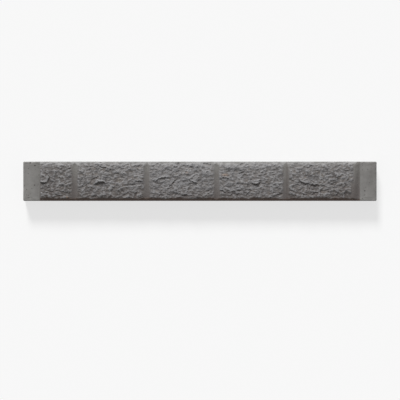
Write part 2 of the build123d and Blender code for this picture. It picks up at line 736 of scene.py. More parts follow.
@dataclass
class BlockFace:
    """The cast face: a crowned run of split blocks with hollow joints, between plain tongues.

    Attributes:
        length: Length of the unit.
        height: Height of the course.
        tongue_thickness: Thickness of the tongues at the ends.
        tongue_length: Length of a tongue.
        arris: Chamfer round the ends.
        face_relief: From the tongues to the crest of the blocks.
        crown_rise: Bulge of the face over its whole height.
        shoulders: The rise from the left tongue, from the run's left end, and the fall to the right
            tongue, from its right end.
        block_tones: How much paler than the rest each block is, or darker where below 0, from the left.
        chip_depth: Depth of the chips along the rim.
        chip_reach: How far in from the rim they reach.
        chip_spots: Pattern that they follow.
        chip_rarity: Where that pattern starts a chip, and where the chip has its full depth.
        stone_edge: Where the stone starts and where it is full, from the edge of its block.
        rugged_edge: Where its relief starts and is full, from the edge of its block.
        rugged_foot: The same from the lower bed.
        rugged_head: Where the bolder relief under the upper bed starts to fade and where it ends.
        head_gain: How much bolder the relief is there.
        set_back: How far the middle of the split stone lies below the crown.
        set_back_edge: Where it starts to and where it does, from the edge of its block.
        set_back_margin: The same from a bed.
        grain: Pattern of the splitting.
        joints: The joints between the blocks.
        margins: The margins along the beds.
        splitting: The relief of the split stone.
    """

    length: float
    height: float
    tongue_thickness: float = 80 * MM
    tongue_length: float = 85 * MM
    arris: float = 4 * MM
    face_relief: float = 15 * MM
    crown_rise: float = 9 * MM
    shoulders: tuple[Range, Range] = ((-3 * MM, 9 * MM), (-32 * MM, 2 * MM))
    # The blocks towards the ends are darker, partly as painted shade
    block_tones: tuple[float, ...] = (-0.3, -0.07, 0.14, 0.1, -0.12)
    chip_depth: float = 3 * MM
    chip_reach: float = 7.5 * MM
    chip_spots: Ripple = Ripple(1.0, 40 * MM, shift=(4.4, 0.0))
    chip_rarity: Range = (0.3, 0.8)
    stone_edge: Range = (-2 * MM, 8 * MM)
    rugged_edge: Range = (-8 * MM, 16 * MM)
    rugged_foot: Range = (-14 * MM, 32 * MM)
    rugged_head: Range = (8 * MM, 40 * MM)
    head_gain: float = 0.5
    set_back: float = 2.2 * MM
    set_back_edge: Range = (0.0, 60 * MM)
    set_back_margin: Range = (8 * MM, 85 * MM)
    grain: StoneGrain = StoneGrain(7)
    joints: HollowJoints = field(init=False)
    margins: Margins = field(init=False)
    splitting: Splitting = field(init=False)

    def __post_init__(self) -> None:
        """Fits the joints, the margins and the splitting to the face."""
        self.joints = HollowJoints(self.grain, self.height, self.run_ends)
        self.margins = Margins(self.grain, self.height)
        self.splitting = Splitting(self.grain, self.height / 2)

    @property
    def run_ends(self) -> Range:
        """Where the run of blocks ends on the left and on the right."""
        half = self.length / 2 - self.tongue_length
        return -half, half

    @property
    def crest(self) -> float:
        """Highest level of the crown above the back."""
        return self.tongue_thickness + self.face_relief

    @property
    def bed_depth(self) -> float:
        """Level of the margins at the beds."""
        return self.crest - self.crown_rise - self.margins.fall

    def run_share(self, x: Array, rise: Range, fall: Range) -> Array:
        """Tells the run of blocks from the tongues.

        Args:
            x: Places along X.
            rise: Where the share starts to rise and where it is 1, from the left end of the run.
            fall: Where it starts to fall and where it is 0, from the right end.

        Returns:
            Shares from 0 to 1.
        """
        left, right = self.run_ends
        share = smooth_step(left + rise[0], left + rise[1], x)
        return share * (1.0 - smooth_step(right + fall[0], right + fall[1], x))

    def tone(self, x: Array) -> Array:
        """Tells how pale the block at each place is, 0 where it is like the rest."""
        block = np.searchsorted(sorted(self.joints.middles()), x)
        return np.array((*self.block_tones, 0.0))[block]

    def crown(self, y: Array) -> Array:
        """Level of the crowned face before its margins turn down."""
        radius = ((self.height / 2) ** 2 + self.crown_rise**2) / (2 * self.crown_rise)
        return self.crest - radius + np.sqrt(radius**2 - y**2)

    def chips(self, x: Array, y: Array) -> Array:
        """Knocks chips out of the rim.

        Args:
            x: Places along X.
            y: Places along Y.

        Returns:
            Depths.
        """
        inside = np.minimum(self.height / 2 - np.abs(y), self.length / 2 - np.abs(x))
        where = smooth_step(*self.chip_rarity, self.chip_spots.at(self.grain, x, y))
        return self.chip_depth * where * np.clip(1.0 - inside / self.chip_reach, 0.0, 1.0)

    def ruggedness(self, depth: Array, y: Array) -> Array:
        """Tells how rugged the stone is: less next to a joint and at its foot, more at its head.

        Args:
            depth: Distance inside the edge of the nearest block.
            y: Places along Y.

        Returns:
            Factors for its relief.
        """
        half = self.height / 2
        rugged = smooth_step(*self.rugged_edge, depth) * smooth_step(*self.rugged_foot, y + half)
        return rugged * (1.0 + self.head_gain * (1.0 - smooth_step(*self.rugged_head, half - y)))

    def shape(self, x: Array, y: Array) -> FaceShape:
        """Works out the face.

        Args:
            x: Places along X.
            y: Places along Y.

        Returns:
            The face at these places.
        """
        margins = self.margins
        sink, depth = self.joints.place(x, y)
        margin = margins.line(x, y)
        crown = self.crown(y)
        section = margins.section(crown, margin, y)
        face = np.minimum(section, crown - sink)
        to_end = self.length / 2 - np.abs(x)
        slab = self.tongue_thickness - np.maximum(self.arris - to_end, 0.0)
        level = np.minimum(section, slab + (face - slab) * self.run_share(x, *self.shoulders))
        stone = smooth_step(*self.stone_edge, depth) * margins.stone_share(margin, depth, y)
        relief = self.splitting.relief(x, y) * stone * self.ruggedness(depth, y)
        level += relief - self.chips(x, y)
        level += margins.lumps.at(self.grain, x, y) * (1.0 - smooth_step(*margins.lump_fade, margin))
        # The stone lies lower than its rims by degrees
        inner = smooth_step(*self.set_back_edge, depth) * smooth_step(*self.set_back_margin, margin)
        return FaceShape(x, y, level - self.set_back * inner, stone, relief, depth, margin)


class Part(IntEnum):
    """The sides of the unit that differ in finish, numbered as the mesh's material slots."""

    FACE = 0
    BEDS = 1
    BACK = 2


class Patch(IntEnum):
    """The first of the two patches that each side takes up on the texture map."""

    FACE = 0
    LOWER_BED = 2
    UPPER_BED = 4
    ENDS = 6
    BACK = 8


@dataclass(frozen=True)
class MapPatch:
    """Where one side of the unit, or half of it, lies on the texture map.

    Attributes:
        axes: Which of X, Y and Z run along the patch and up it.
        start: Place on the side that lies at the lower left corner of the patch.
        corner: That corner, in pixels.
        scale: Pixels for each metre.
    """

    axes: tuple[int, int]
    start: tuple[float, float]
    corner: tuple[float, float]
    scale: float

    def lay(self, places: Array) -> Array:
        """Lays places of the side, three numbers each, on the map, in pixels."""
        flat = places[..., list(self.axes)] - np.array(self.start)
        return np.array(self.corner) + self.scale * flat


def spaced(low: float, high: float, step: float) -> Array:
    """Gives evenly spaced places from low up to but not at high."""
    return np.linspace(low, high, max(2, round((high - low) / step) + 1))[:-1]


def rim_of(grid: Numbers) -> Numbers:
    """Lists the point numbers round a grid."""
    return np.concatenate((grid[:-1, 0], grid[-1, :-1], grid[:0:-1, -1], grid[0, :0:-1]))


def quads_of(grid: Numbers) -> Numbers:
    """Lists the corners of a grid's cells, which face up. The turned grid's face down."""
    corners = (grid[:-1, :-1], grid[1:, :-1], grid[1:, 1:], grid[:-1, 1:])
    return np.stack(corners, axis=-1).reshape(-1, 4)


def spread(level: Array, reach: int) -> Array:
    """Averages a grid of levels over a square.

    Args:
        level: Levels on a grid.
        reach: Half the square's side, in points of the grid.

    Returns:
        Averaged levels.
    """
    width = 2 * reach + 1
    for axis in (0, 1):
        pad = [(reach + 1, reach) if a == axis else (0, 0) for a in (0, 1)]
        sums = np.cumsum(np.pad(level, pad, mode="edge"), axis=axis)
        later = np.take(sums, range(width, sums.shape[axis]), axis=axis)
        sooner = np.take(sums, range(sums.shape[axis] - width), axis=axis)
        level = (later - sooner) / width
    return level


@dataclass
class CastUnit:
    """The whole sleeper as one closed mesh.

    Attributes:
        face: The block face.
        stone_step: Spacing of the mesh over the blocks, along the sleeper.
        plain_step: Spacing of the mesh over the tongues.
        stone_past: How far the finer spacing reaches past the run of blocks, on the left and right.
        height_step: Spacing of the mesh across the face.
        back_step: Spacing of the mesh on the back.
        bed_levels: Rows of the mesh down a bed, as shares of its depth.
        sharp_angle: Turn from face to face that is shown as an edge, in degrees.
        wear_reach: How far from an arris it is worn.
        run_fades: Where the finish of the blocks starts and is full, from the run's left end, and where
            it starts to fade and ends, from its right end.
        dust_and_highlight_fade: Where the dust and painted highlight on the upper margin start to fade and
            where they end.
        head_edge: Where that dust and painted highlight start and are full, from the edge of a block.
        hollow_reaches: Reaches, in points of the grid, over which a hollow is told from the stone round
            it, and how much each counts.
        hollow_most: Depth of a hollow that counts in full, in millimetres.
        stain_run: How far down the lower bed the colour of its margin has run.
        stain_fades: Where the run of blocks has stained the bed, as in run_fades.
        map_pixels: Width and height of the texture map.
        map_gap: Pixels that are left free round each patch of the map.
        points: The mesh's points so far, in batches.
        polygons: Its faces so far, in batches, as rows of point numbers.
        parts: Side of the unit that each batch of faces is on.
        wear: How worn each batch of points is, from 0 to 1.
        count: How many points there are so far.
    """

    face: BlockFace
    stone_step: float = 2.3 * MM
    plain_step: float = 5 * MM
    stone_past: tuple[float, float] = (6 * MM, 4 * MM)
    height_step: float = 2 * MM
    back_step: float = 30 * MM
    bed_levels: tuple[float, ...] = (0.05, 0.18, 0.4, 0.65, 0.88, 1.0)
    sharp_angle: float = 50.0
    wear_reach: float = 6 * MM
    run_fades: tuple[Range, Range] = ((-3 * MM, 3 * MM), (-4 * MM, 4 * MM))
    dust_and_highlight_fade: Range = (5 * MM, 21 * MM)
    head_edge: Range = (-2 * MM, 1 * MM)
    hollow_reaches: tuple[tuple[int, float], ...] = ((3, 1.0), (9, 0.5))
    hollow_most: float = 2.0
    stain_run: float = 24 * MM
    stain_fades: tuple[Range, Range] = ((-5 * MM, 9 * MM), (-9 * MM, 5 * MM))
    map_pixels: float = 1024.0
    map_gap: float = 8.0
    points: list[Array] = field(default_factory=list)
    polygons: list[Numbers] = field(default_factory=list)
    parts: list[Part] = field(default_factory=list)
    wear: list[Array] = field(default_factory=list)
    count: int = 0

    def add_points(self, points: Array, rim: bool = False) -> Numbers:
        """Adds points to the mesh, the face's first.

        Args:
            points: Places, three numbers each.
            rim: Whether they are on an arris all round the unit.

        Returns:
            The points' numbers.
        """
        first = self.count
        places = points.reshape(-1, 3)
        to_bed = self.face.height / 2 - np.abs(places[:, 1])
        to_end = self.face.length / 2 - np.abs(places[:, 0])
        # Below the face only the upright corners of the ends are near an arris
        near = np.maximum(to_bed, to_end) if first else np.minimum(to_bed, to_end)
        worn = 1.0 - smooth_step(0.0, self.wear_reach, near)
        self.wear.append(np.ones(len(places)) if rim else worn)
        self.points.append(places)
        self.count += len(places)
        return np.arange(first, self.count)

    def add_faces(self, corners: Numbers, part: Part) -> None:
        """Adds faces on one side of the unit, a row of point numbers each."""
        self.polygons.append(corners)
        self.parts.append(part)

    def lines(self) -> tuple[Array, Array]:
        """Places the mesh's lines along and across the face.

        Returns:
            Places along X and along Y.
        """
        face = self.face
        end, half = face.length / 2, face.height / 2
        run_left, run_right = face.run_ends
        stone_left = run_left - self.stone_past[0]
        stone_right = run_right + self.stone_past[1]
        chamfer = np.linspace(0.0, face.arris, 3)
        along = np.concatenate((
            chamfer[:-1] - end,
            spaced(face.arris - end, stone_left, self.plain_step),
            spaced(stone_left, stone_right, self.stone_step),
            spaced(stone_right, end - face.arris, self.plain_step),
            end - face.arris + chamfer,
        ))
        return along, np.linspace(-half, half, round(face.height / self.height_step) + 1)

    def build_face(self, shape: FaceShape) -> Numbers:
        """Builds the top of the unit, with the tongues.

        Args:
            shape: The worked-out face.

        Returns:
            The point numbers on the grid.
        """
        face = self.face
        # The upright corners of the ends are chamfered
        cut = np.maximum(np.abs(shape.x) - (face.length / 2 - face.arris), 0.0)
        y = shape.y * (1.0 - cut / (face.height / 2))
        grid = self.add_points(np.stack((shape.x, y, shape.level), axis=-1)).reshape(y.shape)
        self.add_faces(quads_of(grid), Part.FACE)
        return grid

    def build_beds(self, grid: Numbers) -> Numbers:
        """Builds the beds and the ends, from the rim of the face down to the back's chamfer.

        Args:
            grid: Point numbers of the face.

        Returns:
            Point numbers of the ring round the back.
        """
        ring = rim_of(grid)
        rim = np.concatenate(self.points)[ring]
        ahead = np.roll(rim, -1, axis=0)[:, :2] - rim[:, :2]
        ahead /= np.linalg.norm(ahead, axis=1, keepdims=True)
        outward = np.stack((ahead[:, 1], -ahead[:, 0]), axis=1)
        before = np.roll(outward, 1, axis=0)
        corner = outward + before
        corner /= 1.0 + (outward * before).sum(axis=1, keepdims=True)
        for share in self.bed_levels:
            row = rim.copy()
            row[:, 2] += share * (self.face.arris - rim[:, 2])
            ring = self.join_rings(ring, self.add_points(row, share == self.bed_levels[-1]))
        last = rim.copy()
        last[:, :2] -= corner * self.face.arris
        last[:, 2] = 0.0
        return self.join_rings(ring, self.add_points(last, True))

    def join_rings(self, upper: Numbers, lower: Numbers) -> Numbers:
        """Joins two rings of points round the unit with faces.

        Args:
            upper: Point numbers of the upper ring.
            lower: Point numbers of the lower ring.

        Returns:
            The lower ring.
        """
        quads = (upper, lower, np.roll(lower, -1), np.roll(upper, -1))
        self.add_faces(np.stack(quads, axis=-1), Part.BEDS)
        return lower

    def build_back(self, ring: Numbers) -> None:
        """Closes the back with a coarse grid, joined to the fine ring round it.

        Args:
            ring: Point numbers of the ring round the back.
        """
        rim = np.concatenate(self.points)[ring]
        low, high = rim.min(axis=0) + self.back_step / 2, rim.max(axis=0) - self.back_step / 2
        lines = [
            np.linspace(low[axis], high[axis], round((high[axis] - low[axis]) / self.back_step) + 1)
            for axis in (0, 1)
        ]
        x, y = np.meshgrid(*lines, indexing="ij")
        grid = self.add_points(np.stack((x, y, 0 * x), axis=-1)).reshape(x.shape)
        self.add_faces(quads_of(grid.T), Part.BACK)
        self.zip_rings(ring, rim_of(grid))

    def zip_rings(self, outer: Numbers, inner: Numbers) -> None:
        """Joins a fine ring to a coarse one inside it with triangles.

        Args:
            outer: Point numbers of the fine ring.
            inner: Point numbers of the coarse ring.
        """
        places = np.concatenate(self.points)[:, :2]
        start = np.argmin(((places[outer] - places[inner[0]]) ** 2).sum(axis=1))
        outer = np.append(np.roll(outer, -start), outer[start])
        inner = np.append(inner, inner[0])
        triangles = []
        at_outer, at_inner = 0, 0
        while at_outer < len(outer) - 1 or at_inner < len(inner) - 1:
            next_outer, next_inner = at_outer + 1, at_inner + 1
            if next_inner == len(inner):
                step_out = True
            elif next_outer == len(outer):
                step_out = False
            else:
                longer_out = places[outer[next_outer]] - places[inner[at_inner]]
                longer_in = places[outer[at_outer]] - places[inner[next_inner]]
                step_out = longer_out @ longer_out < longer_in @ longer_in
            if step_out:
                triangles.append((outer[at_outer], inner[at_inner], outer[next_outer]))
                at_outer = next_outer
            else:
                triangles.append((outer[at_outer], inner[at_inner], inner[next_inner]))
                at_inner = next_inner
        self.add_faces(np.array(triangles), Part.BACK)

    def build(self, name: str) -> bpy.types.Object:
        """Builds the unit.

        Args:
            name: Name of the piece.

        Returns:
            The finished piece.
        """
        shape = self.face.shape(*np.meshgrid(*self.lines(), indexing="ij"))
        self.build_back(self.build_beds(self.build_face(shape)))
        mesh = bpy.data.meshes.new(name)
        faces = [corners.tolist() for rows in self.polygons for corners in rows]
        mesh.from_pydata(np.concatenate(self.points), [], faces)
        slots = np.repeat(self.parts, [len(rows) for rows in self.polygons])
        mesh.polygons.foreach_set("material_index", slots.astype(np.int32))
        self.mark(mesh, shape)
        self.lay_map(mesh)
        mesh.shade_smooth()
        mesh.set_sharp_from_angle(angle=math.radians(self.sharp_angle))
        mesh.validate()
        piece = bpy.data.objects.new(name, mesh)
        bpy.context.scene.collection.objects.link(piece)
        return piece

    def mark(self, mesh: bpy.types.Mesh, shape: FaceShape) -> None:
        """Notes on the mesh what its finishes follow.

        Args:
            mesh: The unit's mesh, with the face's points first.
            shape: The worked-out face.
        """
        face, margins = self.face, self.face.margins
        x, y, relief = shape.x, shape.y, shape.relief
        run = face.run_share(x, *self.run_fades)
        lower = 1.0 - smooth_step(*margins.strips[0], shape.margin)
        upper = 1.0 - smooth_step(*self.dust_and_highlight_fade, margins.upper_line(shape.margin, shape.depth))
        # The heads of the joints reach up into the upper margin, and most dust and painted highlight lies
        # beside them
        upper *= smooth_step(*self.head_edge, shape.depth) * (1.0 + margins.corners(shape.depth))
        # How far each place lies below the stone round it, for painted shade in hollows and painted
        # highlight on ridges
        hollow = sum(share * (spread(relief, reach) - relief) for reach, share in self.hollow_reaches)
        marks = {
            Mark.STONE: shape.stone,
            Mark.HOLLOW: shape.stone * np.clip(hollow / MM, -self.hollow_most, self.hollow_most),
            Mark.TONE: face.tone(x),
            Mark.TONGUE: 1.0 - run,
            Mark.UPPER_MARGIN: upper * run * (y > 0),
            Mark.LOWER_MARGIN: lower * run * (y < 0),
            Mark.RIM: np.concatenate(self.wear),
            Mark.STAIN: self.bed_stain(),
        }
        for mark, spots in BLEMISHES.items():
            marks[mark] = np.clip(sum(spot.stain(x, y, face.height / 2) for spot in spots), 0.0, 1.0)
        for mark, values in marks.items():
            whole = np.zeros(len(mesh.vertices), np.float32)
            whole[: values.size] = values.ravel()
            mesh.attributes.new(mark, "FLOAT", "POINT").data.foreach_set("value", whole)

    def bed_stain(self) -> Array:
        """Tells how far the colour of the lower margin has run down the bed under it.

        Returns:
            Shares for all points, from 0 to 1.
        """
        x, y, z = np.concatenate(self.points).T
        rim = self.face.bed_depth
        under = smooth_step(rim - self.stain_run, rim, z) * (y < 0)
        return under * self.face.run_share(x, *self.stain_fades)

    def map_patches(self) -> list[MapPatch]:
        """Sets the sides out on the texture map, the long ones cut in two so that they can be large.

        Returns:
            Two patches for each side, in the order of Patch.
        """
        face, gap = self.face, self.map_gap
        end, half = face.length / 2, face.height / 2
        starts = (-end, 0.0)
        scale = (self.map_pixels - 2 * gap) / end
        tall, low = face.height * scale, face.tongue_thickness * scale
        patches = []
        bottom = gap
        for start in starts:
            patches.append(MapPatch((0, 1), (start, -half), (gap, bottom), scale))
            bottom += tall + gap
        for start in 2 * starts:
            patches.append(MapPatch((0, 2), (start, 0.0), (gap, bottom), scale))
            bottom += low + gap
        left = gap
        for _ in starts:
            patches.append(MapPatch((1, 2), (-half, 0.0), (left, bottom), scale))
            left += tall + gap
        # The back, which is seldom seen, takes what room is left
        room = (self.map_pixels - bottom - gap) / 2
        back_scale = (room - gap) / face.height
        for start in starts:
            patches.append(MapPatch((0, 1), (start, -half), (left, bottom), back_scale))
            bottom += room
        return patches

    def lay_map(self, mesh: bpy.types.Mesh) -> None:
        """Lays the unit's sides on its texture map.

        Args:
            mesh: The unit's mesh.
        """
        face = self.face
        patches = self.map_patches()
        points = np.concatenate(self.points)
        pixels = []
        for rows, part in zip(self.polygons, self.parts):
            corners = points[rows]
            x, y = corners.mean(axis=1)[:, :2].T
            on_end = face.length / 2 - np.abs(x) < face.height / 2 - np.abs(y)
            beds = np.where(on_end, Patch.ENDS, np.where(y > 0, Patch.UPPER_BED, Patch.LOWER_BED))
            first = {Part.FACE: Patch.FACE, Part.BEDS: beds, Part.BACK: Patch.BACK}[part]
            numbers = first + np.where(x > 0, 1, 0)
            laid = np.zeros((*rows.shape, 2))
            for number, patch in enumerate(patches):
                laid[numbers == number] = patch.lay(corners[numbers == number])
            pixels.append(laid.ravel())
        layer = mesh.uv_layers.new(name=TEXTURE_MAP)
        layer.uv.foreach_set("vector", (np.concatenate(pixels) / self.map_pixels).astype(np.float32))

    def dress(self, piece: bpy.types.Object) -> None:
        """Gives each side of the unit its finish.

        Args:
            piece: The built piece.
        """
        skin = CastSkin()
        finishes = {
            Part.FACE: SplitStoneFinish().make(self.face.height / 2, skin),
            Part.BEDS: MouldedFinish().make(skin),
            Part.BACK: FloatedFinish().make(),
        }
        for part in Part:
            piece.data.materials.append(finishes[part])


def add_node(
    tree: bpy.types.NodeTree, kind: str, inputs: Mapping[str | int, object], **settings: object
) -> bpy.types.Node:
    """Adds a shader node.

    Args:
        tree: Nodes to add to.
        kind: Kind of node, without the words that every kind starts with.
        inputs: What goes into each input, by its name or number: another node's output, a number, a
            place or a colour.
        **settings: The node's own settings.

    Returns:
        The node.
    """
    node = tree.nodes.new(f"ShaderNode{kind}")
    for name, setting in settings.items():
        setattr(node, name, setting)
    fill(tree, node, inputs)
    return node


def fill(tree: bpy.types.NodeTree, node: bpy.types.Node, inputs: Mapping[str | int, object]) -> None:
    """Links a node's inputs or sets them to constants.

    Args:
        tree: Nodes that it belongs to.
        node: Node whose inputs to fill.
        inputs: What goes into each, as in add_node.
    """
    for name, value in inputs.items():
        target = node.inputs[name]
        if isinstance(value, bpy.types.NodeSocket):
            tree.links.new(value, target)
        elif isinstance(value, tuple) and target.type == "RGBA":
            target.default_value = (*value, 1.0)
        else:
            target.default_value = value


SPECULAR = 0.25  # weathered stone and cement have little gloss
MIX_INPUTS = (0, 6, 7)  # the share, the base and the top in a mix of two colours
MIX_OUTPUT = 2

Paint = Socket | Colour


class Way(Enum):
    """How one colour is laid over another."""

    COVER = "MIX"
    SOFTEN = "SOFT_LIGHT"


class ShaderBench:
    """Lays out the nodes of one finish.

    Attributes:
        material: The material being made.
        tree: Its nodes.
        place: Places on the object.
    """

    def __init__(self, name: str) -> None:
        """Starts a new material.

        Args:
            name: Name of the material.
        """
        self.material = bpy.data.materials.new(name)
        self.material.use_nodes = True
        self.tree = self.material.node_tree
        self.place = add_node(self.tree, "TexCoord", {}).outputs["Object"]

    def mark(self, mark: Mark) -> Socket:
        """Reads one of the mesh's marks."""
        return add_node(self.tree, "Attribute", {}, attribute_name=mark).outputs["Fac"]

    def along(self, axis: str) -> Socket:
        """Reads one axis of the places on the object."""
        return add_node(self.tree, "SeparateXYZ", {"Vector": self.place}).outputs[axis]

    def stretch(self, scale: tuple[float, float, float]) -> Socket:
        """Scales the places on the object, which stretches the patterns that are drawn at them."""
        return add_node(self.tree, "Mapping", {"Vector": self.place, "Scale": scale}).outputs["Vector"]

    def noise(self, wave: float, detail: float, rough: float = 0.5, at: Socket | None = None) -> Socket:
        """Clouds of one size about 0.5, with a detail of finer sizes, here or at other places."""
        inputs = {"Vector": at or self.place, "Scale": 1.0 / wave, "Detail": detail, "Roughness": rough}
        return add_node(self.tree, "TexNoise", inputs).outputs["Fac"]

    def grains(self, size: float) -> tuple[Socket, Socket]:
        """Scatters grains.

        Args:
            size: Size of a grain's cell.

        Returns:
            Distance from a grain's middle, and a chance number for each grain.
        """
        cells = add_node(self.tree, "TexVoronoi", {"Vector": self.place, "Scale": 1.0 / size})
        split = add_node(self.tree, "SeparateColor", {"Color": cells.outputs["Color"]})
        return cells.outputs["Distance"], split.outputs["Red"]

    def fit(self, value: Socket, start: float, full: float, low: float = 0.0, high: float = 1.0) -> Socket:
        """Fits a value into another range, from low at start to high at full, and keeps it there."""
        inputs = {"Value": value, "From Min": start, "From Max": full, "To Min": low, "To Max": high}
        return add_node(self.tree, "MapRange", inputs).outputs["Result"]

    def times(self, first: Socket, second: Socket) -> Socket:
        """Multiplies two values."""
        return add_node(self.tree, "Math", {0: first, 1: second}, operation="MULTIPLY").outputs["Value"]

    def less(self, first: Socket | float, second: Socket) -> Socket:
        """Takes the second value from the first."""
        return add_node(self.tree, "Math", {0: first, 1: second}, operation="SUBTRACT").outputs["Value"]

    def blend(self, base: Paint, top: Paint, share: Socket, way: Way = Way.COVER) -> Socket:
        """Lays one colour over another.

        Args:
            base: Colour below.
            top: Colour above.
            share: How much of the colour above is laid on.
            way: How it is laid on.

        Returns:
            The blended colour.
        """
        inputs = dict(zip(MIX_INPUTS, (share, base, top)))
        mix = add_node(self.tree, "Mix", inputs, data_type="RGBA", blend_type=way.value)
        return mix.outputs[MIX_OUTPUT]

    def coat(
        self, base: Paint, top: Paint, pattern: Socket, start: float, full: float, share: float = 1.0
    ) -> Socket:
        """Lays one colour over another where a pattern goes from start to full, up to a share."""
        return self.blend(base, top, self.fit(pattern, start, full, high=share))

    def emboss(self, height: Socket, depth: float, below: Socket | None = None) -> Socket:
        """Turns a height into fine relief.

        Args:
            height: Values from 0 to 1.
            depth: What 1 stands for in metres.
            below: Relief that this one is added to.

        Returns:
            The relief's normal.
        """
        inputs = {"Strength": 1.0, "Distance": depth, "Height": height}
        if below is not None:
            inputs["Normal"] = below
        return add_node(self.tree, "Bump", inputs).outputs["Normal"]

    def finish(self, colour: Socket, roughness: Socket, normal: Socket) -> bpy.types.Material:
        """Joins what was made to the material's shader.

        Args:
            colour: Colour of the surface.
            roughness: Its roughness.
            normal: Its fine relief.

        Returns:
            The finished material.
        """
        shader = self.tree.nodes["Principled BSDF"]
        inputs = {"Base Color": colour, "Roughness": roughness, "Normal": normal}
        fill(self.tree, shader, {**inputs, "Specular IOR Level": SPECULAR})
        return self.material


DAMP_AND_SHADE: Colour = (0.111, 0.083, 0.070)  # damp, dirty cement, darkened by painted shade


@dataclass(frozen=True)
class CastSkin:
    """Cement as it leaves a smooth mould, cloudy, with air holes, and worn along its edges."""

    dark: Colour = (0.140, 0.135, 0.129)
    pale: Colour = (0.215, 0.209, 0.200)
    # Dark of the air holes, which is painted shade
    bloom: Colour = (0.290, 0.286, 0.277)
    hole: Colour = (0.060, 0.056, 0.052)
    hole_cells: tuple[tuple[float, float], ...] = ((9 * MM, 0.84), (21 * MM, 0.8))

    def lay(self, bench: ShaderBench) -> tuple[Socket, Socket]:
        """Lays out the skin on a finish's bench.

        Args:
            bench: Bench of the finish.

        Returns:
            The skin's colour, and its fine relief from 0 to 1.
        """
        clouds = bench.noise(55 * MM, detail=5, rough=0.62)
        broad = bench.noise(240 * MM, detail=3)
        sand = bench.noise(1.8 * MM, detail=3, rough=0.6)
        colour = bench.coat(self.dark, self.pale, clouds, start=0.3, full=0.7)
        colour = bench.coat(colour, self.bloom, broad, start=0.48, full=0.7, share=0.5)
        colour = bench.coat(colour, self.dark, broad, start=0.48, full=0.3, share=0.5)
        colour = bench.coat(colour, self.dark, sand, start=0.35, full=0.7, share=0.3)
        bare = bench.fit(clouds, start=0.35, full=0.6, low=0.2, high=0.8)
        colour = bench.blend(colour, self.bloom, bench.times(bench.mark(Mark.RIM), bare))
        relief = bench.fit(sand, start=0.0, full=1.0, low=0.7)
        # Of the cells of each size only those whose chance is rare hold a hole
        for cell, rare in self.hole_cells:
            distance, chance = bench.grains(cell)
            here = bench.fit(chance, start=rare, full=rare + 0.02)
            pit = bench.times(here, bench.fit(distance, start=0.24, full=0.15))
            # Painted shade darkens each hole, which is also sunk in the fine relief
            colour = bench.blend(colour, self.hole, pit)
            relief = bench.less(relief, pit)
        return colour, relief


